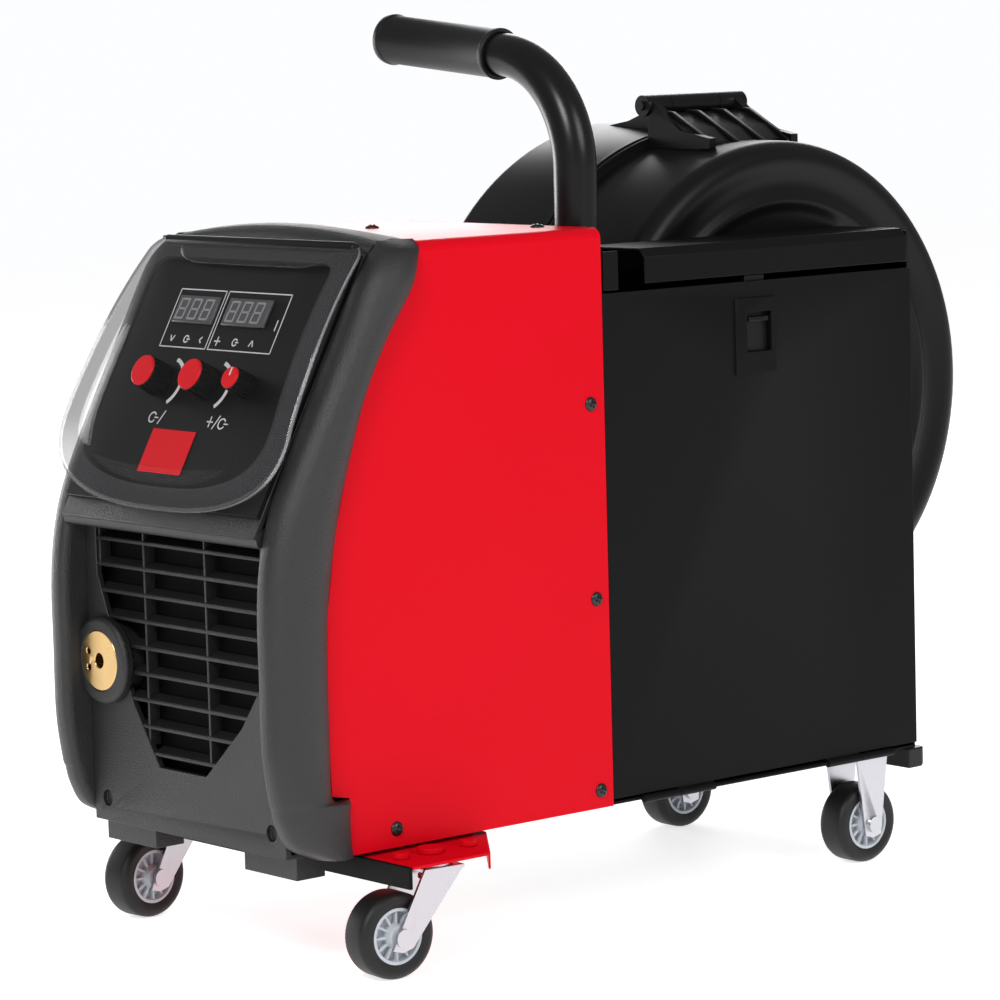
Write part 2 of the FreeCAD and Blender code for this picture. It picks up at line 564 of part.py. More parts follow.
def fork(name, centre, top, lean, toe=0, swivel=True):
    """A pressed fork with its riveted axle: two leaning cheeks under a plate, and a race to swivel on."""
    rad = size("wheel_rad")
    cheek = [(lean - 14, top), (lean + 14, top), (7, rad - 7), (0, rad - 9), (-7, rad - 7)]
    sides = [prism("YZ", cheek, span) for span in ((13, 15), (-15, -13))]
    plate = box((-15, 15), (lean - 14, lean + 14), (top - 2, top))
    axle = rod("X", (0, rad), "axle_rad", (-16, 16))
    heads = [rod("X", (0, rad), 5.5, span) for span in ((-17.5, -15), (15, 17.5))]
    thing = fuse(*sides, plate, axle, *heads)
    if swivel:
        race = rod("Z", (0, lean), 13, (top - 1, top + 3))
        thing = cut(fuse(*sides, plate, axle, *heads, race), rod("Z", (0, lean), "5 + running", (55, 80)))
    place = Placement(Vector(centre[0], centre[1], 0), Rotation(Vector(0, 0, 1), toe))
    node(name, thing, place)


def make_undercarriage():
    plate = prism("XY", [("-bracket_half", "bracket_y"), ("bracket_half", "bracket_y"), ("bracket_half", -199),
                         (103, -161), (-103, -161), ("-bracket_half", -199)], (68.4, 70.4))
    lips = [prism("XY", [(side * 103, -161), (side * 152, -199), (side * 150.5, -199.6), (side * 102, -162)],
                  (60, 69)) for side in (1, -1)]
    spacer = box((-100, 100), (-240, -170), (70.4, "floor_z"))
    holes = [rod("Z", (side * size("swivel_x"), "swivel_y"), 5, (60, 75)) for side in (1, -1)]
    node("caster_bracket", cut(fuse(plate, spacer, *lips), *holes))
    node("front_crossbar", box(("-bracket_half", "bracket_half"), ("bracket_y - 2.5", "bracket_y"), (57, 70.4)))
    pins = [turned("Z", (side * size("swivel_x"), "swivel_y"),
                   [(55.5, 0), (55.5, 8), (58.2, 8), (58.2, 5), (70.4, 5), (70.4, 8), (74, 8), (74, 0)])
            for side in (1, -1)]
    bolts = [rod("Z", (side * 127.5, across), 5, (70.4, 74)) for side in (1, -1) for across in (-247, -196)]
    bolts += [rod("Z", (side * 127.5, across), 6, (64.4, 68.4)) for side in (1, -1) for across in (-247, -196)]
    node("bracket_bolts", group(*pins, *bolts))
    trail = size("trail")
    for name, side in (("right_front", 1), ("left_front", -1)):
        toe = -side * size("toe")
        turn = math.radians(toe)
        centre = (side * size("swivel_x") + trail * math.sin(turn), size("swivel_y") - trail * math.cos(turn))
        wheel_parts(name, (*centre, size("wheel_rad")), toe)
        fork(f"{name}_fork", centre, 64, trail, toe)
    for name, side in (("right_rear", 1), ("left_rear", -1)):
        centre = (side * size("rear_wheel_x"), size("rear_wheel_y"))
        wheel_parts(name, (*centre, size("wheel_rad")))
        fork(f"{name}_fork", centre, size("floor_z"), 0, swivel=False)
    stops = [rounded(box((low, low + 26), (196, 212), (60, "floor_z")), 5, lambda e: e.BoundBox.ZMin < 70
                     and e.BoundBox.YMin > 200) for low in (84, -110)]
    node("rear_stops", group(*stops))


# ---------------------------------------------------------------- wire drive and electrics

def gear(teeth, span, tooth_angle, centre):
    """A straight-flanked gear about X; one tooth points at tooth_angle, in degrees from +Y to +Z."""
    unit = size("module_mm")
    pitch = unit * teeth / 2
    corners = []
    for tooth in range(teeth):
        for rad, share in ((pitch - 1.2 * unit, -0.36), (pitch + 0.9 * unit, -0.11),
                           (pitch + 0.9 * unit, 0.11), (pitch - 1.2 * unit, 0.36)):
            angle = math.radians(tooth_angle + 360 * (tooth + share) / teeth)
            corners.append(Vector(span[0], centre[0] + rad * math.cos(angle), centre[1] + rad * math.sin(angle)))
    corners.append(corners[0])
    return Part.Face(Part.makePolygon(corners)).extrude(Vector(span[1] - span[0], 0, 0))


def mate_angle(teeth, tooth_angle, toward, mate_teeth):
    """Where the mate's tooth points, so that its gap meets this gear's tooth; all in degrees."""
    step = 360 / teeth
    offset = (tooth_angle - toward) % step
    return toward + 180 - offset * teeth / mate_teeth + 180 / mate_teeth


def disc(rad, span, centre):
    return Part.makeCylinder(rad, span[1] - span[0], Vector(span[0], *centre), Vector(1, 0, 0))


def make_wire_drive():
    teeth, small = int(size("roll_teeth")), int(size("pinion_teeth"))
    unit, line, middle = size("module_mm"), size("wire_z"), size("drive_y")
    roll_rad = unit * teeth / 2
    reach = unit * (teeth + small) / 2
    spread = 24
    drop = math.sqrt(reach ** 2 - spread ** 2)
    low_z, high_z = line - roll_rad, line + roll_rad
    pinion = (middle, low_z - drop)
    face = size("plate_x")
    gear_span, roll_span = (face - 8, face - 2), (face - 21, face - 9)

    def roll(name, centre, tooth_angle):
        groove = Part.makeTorus(roll_rad - 0.3, 1, Vector(size("wire_x"), *centre), Vector(1, 0, 0))
        solid = gear(teeth, gear_span, tooth_angle, centre).fuse(disc(14, (roll_span[0], gear_span[1]), centre))
        solid = solid.fuse(disc(roll_rad - 0.3, roll_span, centre)).cut(groove)
        node(name, shaped(solid.cut(disc(4 + size("running"), (face - 30, face + 5), centre))))

    front_angle = 0
    front_way = math.degrees(math.atan2(-drop, spread))
    pinion_tooth = mate_angle(teeth, front_angle, front_way, small)
    rear_way = math.degrees(math.atan2(drop, spread))
    rear_angle = mate_angle(small, pinion_tooth, rear_way, teeth)
    front, rear = (middle - spread, low_z), (middle + spread, low_z)
    roll("front_feed_roll", front, front_angle)
    roll("rear_feed_roll", rear, rear_angle)
    front_top, rear_top = (middle - spread, high_z), (middle + spread, high_z)
    roll("front_pressure_roll", front_top, mate_angle(teeth, front_angle, 90, teeth))
    roll("rear_pressure_roll", rear_top, mate_angle(teeth, rear_angle, 90, teeth))
    shaft = disc(4, (face - 14, face + 5.5), pinion)
    node("motor_pinion", shaped(gear(small, gear_span, pinion_tooth, pinion).fuse(shaft)))

    pivots = {"front": (middle - 54, high_z + 10), "rear": (middle + 54, high_z + 10)}
    floor = size("floor_z") + size("pan_t")
    plate = Part.makeBox(4, 130, 225 - floor, Vector(face, middle - 65, floor))
    plate = plate.cut(disc(4.5, (face - 1, face + 5), pinion))
    plate = plate.fuse(Part.makeBox(20, 130, 4, Vector(face + 3, middle - 65, floor)))
    shafts = [disc(4, (face - 23, face), centre) for centre in (front, rear)]
    shafts += [disc(3, (face - 34, face), centre) for centre in pivots.values()]
    node("drive_plate", shaped(plate.fuse(shafts)))
    for name, top in (("front", front_top), ("rear", rear_top)):
        pivot = pivots[name]
        arm = Part.makeBox(6, 44, 14, Vector(face - 30, min(top[0], pivot[0]) - 7, high_z - 5))
        arm = arm.fuse([disc(9, (face - 30, face - 24), pivot), disc(9, (face - 30, face - 24), top)])
        arm = arm.fuse(disc(4, (face - 24, face - 2), top))
        node(f"{name}_pressure_arm", shaped(arm.cut(disc(3 + size("running"), (face - 40, face), pivot))))
    body = disc(32, (face + 24, face + 100), pinion).fuse(disc(20, (face + 4, face + 24), pinion))
    node("drive_motor", shaped(body.cut(disc(4 + size("running"), (face, face + 8), pinion))))

    guides = [(size("face_y") + 60.2, middle - spread - 19), (middle - 5, middle + 5),
              (middle + spread + 19, size("partition_y") + 14)]
    tubes = [Part.makeCylinder(5 if high - low > 20 else 3, high - low, Vector(size("wire_x"), low, line),
                               Vector(0, 1, 0)).cut(
             Part.makeCylinder(1, high - low, Vector(size("wire_x"), low, line), Vector(0, 1, 0)))
             for low, high in guides]
    node("wire_guides", shaped(Part.makeCompound(tubes)))


def make_electrics():
    board = box((20, 22), (-200, -80), (180, 320))
    parts = [box((22, 34), (low, low + 18), (200, 240)) for low in (-190, -160, -120)]
    node("control_board", fuse(board, *parts))
    node("gas_valve", fuse(box((70, 96), (150, 180), (190, 215)), rod("Y", (80, 200), 5, (180, "rear_y - sheet"))))
    power = turned("Y", (80, 110), [("rear_y - 14", 0), ("rear_y - 14", 15), ("rear_y", 15),
                                                 ("rear_y", 19), ("rear_y + 12", 17), ("rear_y + 12", 6),
                                                 ("rear_y", 6), ("rear_y", 0)])
    control = turned("Y", (80, 160), [("rear_y - 12", 0), ("rear_y - 12", 11), ("rear_y", 11),
                                                   ("rear_y", 14), ("rear_y + 9", 14), ("rear_y + 9", 9),
                                                   ("rear_y", 9), ("rear_y", 0)])
    nipple = turned("Y", (80, 200), [("rear_y - 1.5", 2), ("rear_y - 1.5", 6), ("rear_y", 6),
                                               ("rear_y", 9), ("rear_y + 5", 9), ("rear_y + 5", 4),
                                               ("rear_y + 24", 4), ("rear_y + 24", 2)])
    node("rear_sockets", group(power, control, nipple))


def make_fasteners():
    heads = []
    for across, up in ((-75, 323), (-74, 203), (-74, 84), (-235.5, 84)):
        for side in (1, -1):
            low, high = ("half_width", "half_width + 2.2") if side > 0 else ("-half_width - 2.2", "-half_width")
            heads.append(rod("X", (across, up), 4.5, (low, high)))
    heads += [rod("Z", place, 4.5, ("cover_top_z", "cover_top_z + 2.2")) for place in ((-27, -132), (70, -80))]
    node("cover_screws", group(*heads))


for make in (make_housing, make_bezel, make_knobs, make_window, make_torch_socket, make_drum, make_handle,
             make_undercarriage, make_wire_drive, make_electrics, make_fasteners):
    make()

# ---------------------------------------------------------------- check and write

doc.recompute()
for thing in doc.Objects:
    if {"Invalid", "Error"} & set(thing.State):
        raise SystemExit(f"{thing.Label} did not build: {thing.State}")
os.makedirs("parts", exist_ok=True)
for thing in nodes:
    shape = thing.Shape
    if shape.isNull() or not shape.isValid() or not shape.Solids:
        raise SystemExit(f"{thing.Label} has no valid solid")
    shape.exportStep(f"parts/{thing.Label}.step")
    print(f"{thing.Label}: {len(shape.Solids)} solid(s), {shape.Volume / 1000:.1f} cm3")
print(len(nodes), "nodes")
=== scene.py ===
# %% [markdown]
# # A wire feeder, piece by piece
# The feeder pushes welding wire from a spool in the round drum, through a small wire drive, to the
# torch socket in front. Its measured shape comes as a fixed frame of named CAD nodes. This lesson
# gives those nodes their edges and finishes, and models what the frame leaves plain: the printed
# control panel, the fluted knobs, the digits, the clear window, the screws and the wheels.
# %% Load the frame
import json
import math
import bmesh
import bpy
from mathutils import Matrix, Vector


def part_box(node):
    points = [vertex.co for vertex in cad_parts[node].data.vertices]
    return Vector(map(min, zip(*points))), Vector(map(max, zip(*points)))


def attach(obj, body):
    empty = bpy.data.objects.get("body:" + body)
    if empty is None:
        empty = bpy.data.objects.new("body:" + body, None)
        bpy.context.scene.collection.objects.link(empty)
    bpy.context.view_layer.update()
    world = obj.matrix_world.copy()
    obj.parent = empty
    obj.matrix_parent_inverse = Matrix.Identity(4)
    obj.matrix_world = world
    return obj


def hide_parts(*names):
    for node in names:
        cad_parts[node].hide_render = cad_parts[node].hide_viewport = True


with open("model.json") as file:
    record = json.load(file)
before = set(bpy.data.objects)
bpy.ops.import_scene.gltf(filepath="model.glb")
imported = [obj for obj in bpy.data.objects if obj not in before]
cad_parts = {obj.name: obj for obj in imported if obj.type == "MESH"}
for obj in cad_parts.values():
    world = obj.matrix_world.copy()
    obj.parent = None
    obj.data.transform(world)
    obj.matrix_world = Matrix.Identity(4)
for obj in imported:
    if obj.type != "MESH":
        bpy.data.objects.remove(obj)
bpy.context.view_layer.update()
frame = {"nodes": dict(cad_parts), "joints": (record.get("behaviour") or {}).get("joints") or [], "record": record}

MM = 0.001
nodes = frame["nodes"]

# %% [markdown]
# ## Camera and light
# A long lens from the front right, a little above the drum, keeps the upright edges nearly parallel.
# The camera is made first, because every later choice is judged through it. The world is almost
# white, as in a product booth, and gives less light than the camera sees in it.
# %% The camera
AZIMUTH, ELEVATION, ROLL = math.radians(49.97), math.radians(6.77), math.radians(-1.54)
CAMERA_SPOT, FOCAL_LENGTH = (2.0183, -1.7521, 0.5673), 150.85


def aim_camera():
    """Builds the camera's own axes from its three angles, then stands it at its distance."""
    back = Vector((math.sin(AZIMUTH) * math.cos(ELEVATION), -math.cos(AZIMUTH) * math.cos(ELEVATION),
                   math.sin(ELEVATION)))
    level = Vector((math.cos(AZIMUTH), math.sin(AZIMUTH), 0))
    upright = back.cross(level)
    across = math.cos(ROLL) * level + math.sin(ROLL) * upright
    up = math.cos(ROLL) * upright - math.sin(ROLL) * level
    camera = bpy.data.objects.new("camera", bpy.data.cameras.new("camera"))
    camera.data.lens = FOCAL_LENGTH
    camera.data.sensor_width = 36
    camera.data.clip_end = 50
    axes = Matrix((across, up, back)).transposed().to_4x4()
    camera.matrix_world = Matrix.Translation(CAMERA_SPOT) @ axes
    bpy.context.scene.collection.objects.link(camera)
    bpy.context.scene.camera = camera
    return camera


camera = aim_camera()
print("camera at", [round(v, 3) for v in camera.matrix_world.translation])

# %% Floor, world and soft lights
def plain_material(name, color, roughness):
    material = bpy.data.materials.new(name)
    material.use_nodes = True
    shader = material.node_tree.nodes["Principled BSDF"]
    shader.inputs["Base Color"].default_value = (*color, 1)
    shader.inputs["Roughness"].default_value = roughness
    return material


def soft_light(name, place, target, size, power):
    data = bpy.data.lights.new(name, "AREA")
    data.shape = "DISK"
    data.size = size
    data.energy = power
    light = bpy.data.objects.new(name, data)
    light.location = place
    light.visible_camera = False
    light.rotation_euler = (Vector(target) - Vector(place)).to_track_quat("-Z", "Y").to_euler()
    bpy.context.scene.collection.objects.link(light)


def make_stage():
    world = bpy.data.worlds.new("booth")
    world.use_nodes = True
    tree, link = world.node_tree, world.node_tree.links.new
    seen = tree.nodes.new("ShaderNodeLightPath")
    bright = tree.nodes.new("ShaderNodeMapRange")
    bright.inputs["To Min"].default_value = 0.3
    bright.inputs["To Max"].default_value = 1.0
    link(seen.outputs["Is Camera Ray"], bright.inputs["Value"])
    link(bright.outputs["Result"], tree.nodes["Background"].inputs["Strength"])
    tree.nodes["Background"].inputs["Color"].default_value = (0.98, 0.985, 1, 1)
    bpy.context.scene.world = world
    bpy.context.scene.view_settings.view_transform = "Standard"
    bm = bmesh.new()
    bmesh.ops.create_grid(bm, x_segments=1, y_segments=1, size=6)
    mesh = bpy.data.meshes.new("floor")
    bm.to_mesh(mesh)
    bm.free()
    floor = bpy.data.objects.new("floor", mesh)
    material = plain_material("pale_floor", (0.9, 0.9, 0.9), 0.8)
    material.node_tree.nodes["Principled BSDF"].inputs["Specular IOR Level"].default_value = 0.05
    material.node_tree.nodes["Principled BSDF"].inputs["Emission Color"].default_value = (1, 1, 1, 1)
    material.node_tree.nodes["Principled BSDF"].inputs["Emission Strength"].default_value = 0.7
    mesh.materials.append(material)
    bpy.context.scene.collection.objects.link(floor)
    soft_light("key", (1.5, -2.6, 2.4), (0, 0, 0.3), 1.2, 66)
    soft_light("side", (3.0, 0.4, 1.9), (0, 0, 0.3), 1.6, 36)
    soft_light("left", (-2.9, -0.4, 0.5), (0, 0, 0.3), 1.4, 35)
    soft_light("behind", (-2.2, 1.9, 1.2), (0, 0, 0.4), 1.8, 32)


make_stage()
print("stage: pale floor, white world and four soft lights")

# %% [markdown]
# ## Finishes
# Every finish is broken up a little: moulded plastic and powder coat have grain, paint has a faint
# orange peel, metal is duller in some places. All of that comes from one node group, which reads the
# object's own coordinates, so it keeps its real scale on every piece. It gives a value that drifts
# over the surface, for colour and roughness, and a height for bump.
# %% The shared grain group
def make_grain_group():
    group = bpy.data.node_groups.new("surface_grain", "ShaderNodeTree")
    for name, value in (("Grain Scale", 900.0), ("Drift Scale", 9.0)):
        socket = group.interface.new_socket(name, in_out="INPUT", socket_type="NodeSocketFloat")
        socket.default_value = value
    group.interface.new_socket("Drift", in_out="OUTPUT", socket_type="NodeSocketFloat")
    group.interface.new_socket("Height", in_out="OUTPUT", socket_type="NodeSocketFloat")
    tree, link = group.nodes, group.links.new
    given = tree.new("NodeGroupInput")
    result = tree.new("NodeGroupOutput")
    place = tree.new("ShaderNodeTexCoord")
    for kind, output, detail in (("Grain Scale", "Height", 3), ("Drift Scale", "Drift", 5)):
        noise = tree.new("ShaderNodeTexNoise")
        noise.inputs["Detail"].default_value = detail
        link(place.outputs["Object"], noise.inputs["Vector"])
        link(given.outputs[kind], noise.inputs["Scale"])
        link(noise.outputs["Fac"], result.inputs[output])
    return group


GRAIN = make_grain_group()
print("node group", GRAIN.name)

# %% [markdown]
# A finish is then one call: a colour and a darker partner that the drift mixes, a roughness range,
# and how deep and how fine the grain is. Constant settings, such as the clear coat, stay on the
# shader's own sockets.
# %% A finish from plain numbers
def finish(name, color, darker, rough, grain, depth, drift, metal=0.0, coat=0.0, coat_rough=0.08,
           specular=0.5):
    material = bpy.data.materials.new(name)
    material.use_nodes = True
    tree, link = material.node_tree.nodes, material.node_tree.links.new
    shader = tree["Principled BSDF"]
    group = tree.new("ShaderNodeGroup")
    group.node_tree = GRAIN
    group.inputs["Grain Scale"].default_value = grain
    group.inputs["Drift Scale"].default_value = drift
    mix = tree.new("ShaderNodeMix")
    mix.data_type = "RGBA"
    mix.inputs["A"].default_value = (*darker, 1)
    mix.inputs["B"].default_value = (*color, 1)
    spread = tree.new("ShaderNodeMapRange")
    spread.inputs["From Min"].default_value = 0.3
    spread.inputs["From Max"].default_value = 0.7
    spread.inputs["To Min"].default_value = rough[0]
    spread.inputs["To Max"].default_value = rough[1]
    bump = tree.new("ShaderNodeBump")
    bump.inputs["Strength"].default_value = 1
    bump.inputs["Distance"].default_value = depth * MM
    link(group.outputs["Drift"], mix.inputs["Factor"])
    link(mix.outputs["Result"], shader.inputs["Base Color"])
    link(group.outputs["Drift"], spread.inputs["Value"])
    link(spread.outputs["Result"], shader.inputs["Roughness"])
    link(group.outputs["Height"], bump.inputs["Height"])
    link(bump.outputs["Normal"], shader.inputs["Normal"])
    shader.inputs["Metallic"].default_value = metal
    shader.inputs["Coat Weight"].default_value = coat
    shader.inputs["Coat Roughness"].default_value = coat_rough
    shader.inputs["Specular IOR Level"].default_value = specular
    return material


def grey(value):
    return (value, value, value * 1.06)


FINISH = {
    "red_paint": finish("red_paint", (0.63, 0.002, 0.011), (0.59, 0.002, 0.01), (0.3, 0.38), 500, 0.01, 6,
                        specular=0.06),
    "black_paint": finish("black_paint", grey(0.005), grey(0.004), (0.36, 0.46), 1100, 0.05, 8,
                          specular=0.08),
    "textured_plastic": finish("textured_plastic", grey(0.014), grey(0.011), (0.38, 0.48), 1000, 0.45, 10,
                               specular=0.5),
    "black_plastic": finish("black_plastic", grey(0.005), grey(0.004), (0.3, 0.4), 900, 0.03, 8,
                            specular=0.18),
    "grip_rubber": finish("grip_rubber", grey(0.006), grey(0.005), (0.36, 0.46), 1300, 0.08, 12,
                          specular=0.3),
    "tube_paint": finish("tube_paint", grey(0.005), grey(0.004), (0.24, 0.32), 500, 0.02, 8, specular=0.3),
    "brass": finish("brass", (0.75, 0.52, 0.24), (0.62, 0.4, 0.17), (0.2, 0.34), 1400, 0.02, 60, metal=1),
    "zinc_steel": finish("zinc_steel", grey(0.62), grey(0.5), (0.24, 0.36), 1200, 0.02, 50, metal=1),
    "bare_steel": finish("bare_steel", grey(0.5), grey(0.4), (0.28, 0.4), 1300, 0.02, 60, metal=1),
    "dark_screws": finish("dark_screws", grey(0.05), grey(0.03), (0.28, 0.36), 1400, 0.02, 50, metal=0.8),
    "grey_rim": finish("grey_rim", (0.5, 0.53, 0.57), (0.44, 0.47, 0.51), (0.4, 0.5), 1200, 0.04, 30),
    "tyre": finish("tyre", grey(0.008), grey(0.006), (0.42, 0.54), 1200, 0.06, 20, specular=0.35),
    "panel_sheet": finish("panel_sheet", grey(0.006), grey(0.005), (0.3, 0.36), 1500, 0.01, 10, specular=0.2),
    "print_white": finish("print_white", (0.75, 0.75, 0.75), (0.7, 0.7, 0.7), (0.5, 0.55), 1500, 0.01, 10),
    "red_print": finish("red_print", (0.8, 0.004, 0.012), (0.76, 0.004, 0.01), (0.3, 0.35), 1500, 0.01, 10,
                        specular=0.2),
    # painted shade: near-black for the screw cross recesses and for the dark inside behind the grille, not a
    # colour of the object
    "painted_recess_shade": finish("painted_recess_shade", grey(0.002), grey(0.001), (0.7, 0.8), 900, 0.02, 10, specular=0.1),
}
print(len(FINISH), "finishes")

# %% Clear and tinted finishes
def clear_plastic(name, tint, roughness, alpha, coat):
    """A thin clear sheet: mostly see-through, with the gloss of its surface kept."""
    material = finish(name, tint, tint, (roughness, roughness + 0.01), 700, 0.003, 5, specular=0.6, coat=coat,
                      coat_rough=0.03)
    material.node_tree.nodes["Principled BSDF"].inputs["Alpha"].default_value = alpha
    return material


FINISH["clear_window"] = clear_plastic("clear_window", grey(0.008), 0.04, 0.09, 0.1)
FINISH["window_flange"] = clear_plastic("window_flange", grey(0.05), 0.12, 0.4, 0.2)
FINISH["window_band"] = clear_plastic("window_band", grey(0.014), 0.2, 0.82, 0)
FINISH["window_edge"] = clear_plastic("window_edge", grey(0.2), 0.15, 0.7, 0.2)
FINISH["display_glass"] = finish("display_glass", grey(0.085), grey(0.075), (0.25, 0.3), 900, 0.002, 5)
FINISH["digit_grey"] = finish("digit_grey", grey(0.3), grey(0.27), (0.4, 0.45), 1500, 0.01, 10)
print("window, flange, band, edge, display glass and digits added")

# %% [markdown]
# ## Pieces from the frame
# The frame's meshes are exact but sharp, and nothing real has a perfectly sharp edge. A piece is
# therefore made from a merged copy of its node: coplanar triangles are dissolved into flat faces,
# then a Bevel modifier rounds what is left, and smooth shading by angle does the rest.
# %% From a CAD node to a finished piece
def into_object(bm, name, finish_name, body, smooth=35):
    """Turns a bmesh into a shaded piece that rides on a body."""
    mesh = bpy.data.meshes.new(name)
    bm.to_mesh(mesh)
    bm.free()
    mesh.materials.append(FINISH[finish_name])
    mesh.shade_smooth()
    mesh.set_sharp_from_angle(angle=math.radians(smooth))
    piece = bpy.data.objects.new(name, mesh)
    bpy.context.scene.collection.objects.link(piece)
    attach(piece, body)
    return piece


def add_bevel(piece, width, segments=2):
    bevel = piece.modifiers.new("edges", "BEVEL")
    bevel.width = width * MM
    bevel.segments = segments
    bevel.limit_method = "ANGLE"
    bevel.angle_limit = math.radians(35)
    bevel.use_clamp_overlap = True
    bevel.harden_normals = False
    return piece


def body_of_node(name):
    return next(body for body, members in frame["record"]["behaviour"]["bodies"].items() if name in members)


def merged_copy(name):
    bm = bmesh.new()
    bm.from_mesh(nodes[name].data)
    bmesh.ops.remove_doubles(bm, verts=bm.verts, dist=0.01 * MM)
    bmesh.ops.dissolve_limit(bm, angle_limit=math.radians(0.6), verts=bm.verts, edges=bm.edges)
    return bm


def softened(name, finish_name, width):
    """Stands for a CAD node: the same shape with rounded edges and its finish."""
    piece = into_object(merged_copy(name), name + "_piece", finish_name, body_of_node(name))
    if width:
        add_bevel(piece, width)
    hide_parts(name)
    return piece


print("helpers ready")

# %% [markdown]
# ## Sheet metal, drum, handle and undercarriage
# Folded sheet has small edges, moulded plastic larger ones, and turned or forged metal only a
# broken corner. One table says which node gets which finish and how round its edges are.
# %% Edges and finishes for the frame's own shapes
EDGES = {
    "red_cover": ("red_paint", 0.5), "access_door": ("red_paint", 0.5),
    "caster_bracket": ("red_paint", 0.5), "rear_box": ("black_paint", 0.5),
    "box_lid": ("black_paint", 0.6), "side_door": ("black_paint", 0.5),
    "base_pan": ("black_paint", 0.3), "partition": ("black_paint", 0.3),
    "front_crossbar": ("black_paint", 0.6), "front_panel": ("textured_plastic", 0.8),
    "socket_collar": ("textured_plastic", 0.8), "rear_sockets": ("textured_plastic", 0.8),
    "drum_hinge": ("black_plastic", 0.8), "spool": ("black_plastic", 0.8),
    "spool_hub": ("black_plastic", 0.6), "hand_grip": ("grip_rubber", 1.0),
    "rear_stops": ("grip_rubber", 1.0), "handle_tube": ("tube_paint", 0.4),
    "torch_socket": ("brass", 0.5), "wire_guides": ("brass", 0.2), "gas_valve": ("brass", 0.6),
    "door_latch": ("black_plastic", 0.4), "spindle": ("zinc_steel", 0.4),
    "right_front_fork": ("zinc_steel", 0.5), "left_front_fork": ("zinc_steel", 0.5),
    "right_rear_fork": ("zinc_steel", 0.5), "left_rear_fork": ("zinc_steel", 0.5),
    "bracket_bolts": ("red_paint", 0.6), "drive_plate": ("zinc_steel", 0.4),
    "front_pressure_arm": ("zinc_steel", 0.6), "rear_pressure_arm": ("zinc_steel", 0.6),
    "drive_motor": ("bare_steel", 0.8), "front_feed_roll": ("bare_steel", 0),
    "rear_feed_roll": ("bare_steel", 0), "front_pressure_roll": ("bare_steel", 0),
    "rear_pressure_roll": ("bare_steel", 0), "motor_pinion": ("bare_steel", 0),
    "access_latch": ("dark_screws", 0.5), "control_board": ("black_paint", 0.3),
    "control_panel": ("panel_sheet", 0.4), "displays": ("display_glass", 0.6),
}
pieces = {name: softened(name, *settings) for name, settings in EDGES.items()}
print(len(pieces), "pieces softened")

# %% [markdown]
# ## The drum
# Both halves of the drum are spun from a half section in many small steps, so that their long walls
# reflect evenly. The fixed half ends in a rounded shoulder against the side box. The hinged half has
# a rounded rim, and two arms that reach up to its knuckle.
# %% Spinning a section, and joining sections
def spun(outline, steps=56):
    """A closed half section, (along the axle, radius) in mm, turned round the X axis."""
    bm = bmesh.new()
    verts = [bm.verts.new((along * MM, 0, radius * MM)) for along, radius in outline]
    edges = [bm.edges.new(pair) for pair in zip(verts, verts[1:] + verts[:1])]
    bmesh.ops.spin(bm, geom=verts + edges, cent=(0, 0, 0), axis=(1, 0, 0), angle=math.tau, steps=steps,
                   use_merge=True)
    bmesh.ops.remove_doubles(bm, verts=bm.verts, dist=0.001 * MM)
    bmesh.ops.recalc_face_normals(bm, faces=bm.faces)
    return bm


def loft(bm, sections):
    """Closed sections joined one to the next, with a face at each end."""
    rings = [[bm.verts.new(spot) for spot in section] for section in sections]
    for low, high in zip(rings, rings[1:]):
        for a, b, c, d in zip(low, low[1:] + low[:1], high[1:] + high[:1], high):
            bm.faces.new((a, b, c, d))
    bm.faces.new(rings[0])
    bm.faces.new(rings[-1])


# %% Both halves of the drum
DRUM_AXIS = Vector((0, 152, 310.5))
QUARTER = [math.radians(15 * i) for i in range(7)]


def make_drum():
    shoulder = [(36 + 12.5 * math.sin(a), 150 + 12.5 * math.cos(a)) for a in QUARTER]
    shell = spun([(-41, 160), (-41, 169.4), (-40.4, 170), (-38.6, 170), (-38, 169.4), (-38, 163.5), *shoulder,
                  (48, 146), (46.8, 142), (46, 137), (46, 132), (46.8, 129), (48.4, 127), (49, 124),
                  (48.4, 121), (46.8, 119), (46, 115), (46, 8), (44.6, 8), (44.6, 146), (34, 160)], steps=128)
    bmesh.ops.translate(shell, vec=DRUM_AXIS * MM, verts=shell.verts)
    fixed = into_object(shell, "drum_shell_piece", "black_plastic", "chassis")
    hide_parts("drum_shell")

    rim = [(-118.7 - 8 * math.sin(a), 166 + 8 * math.cos(a)) for a in QUARTER]
    cover = spun([(-41.5, 167.5), (-41.5, 170.4), (-42.1, 171), (-44.4, 171), (-45, 170), *rim, (-126.7, 0),
                  (-124.2, 0), (-124.2, 165), (-117.7, 171.5)], steps=128)
    bmesh.ops.translate(cover, vec=DRUM_AXIS * MM, verts=cover.verts)
    knuckle = bmesh.ops.create_cone(cover, cap_ends=True, segments=40, radius1=7 * MM, radius2=7 * MM,
                                    depth=43 * MM)["verts"]
    lie = Matrix.Translation(Vector((-41, 152, 497)) * MM) @ Matrix.Rotation(math.pi / 2, 4, "X")
    bmesh.ops.transform(cover, matrix=lie, verts=knuckle)
    arm = [(-44, 491), (-47, 499), (-85, 486), (-110, 482), (-44, 478)]
    for middle in (139, 165):
        loft(cover, [[Vector((x, y, z)) * MM for x, z in arm] for y in (middle - 3, middle + 3)])
    bmesh.ops.recalc_face_normals(cover, faces=cover.faces)
    hinged = into_object(cover, "drum_cover_piece", "black_plastic", "drum_cover")
    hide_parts("drum_cover")


make_drum()
print("both halves of the drum spun")

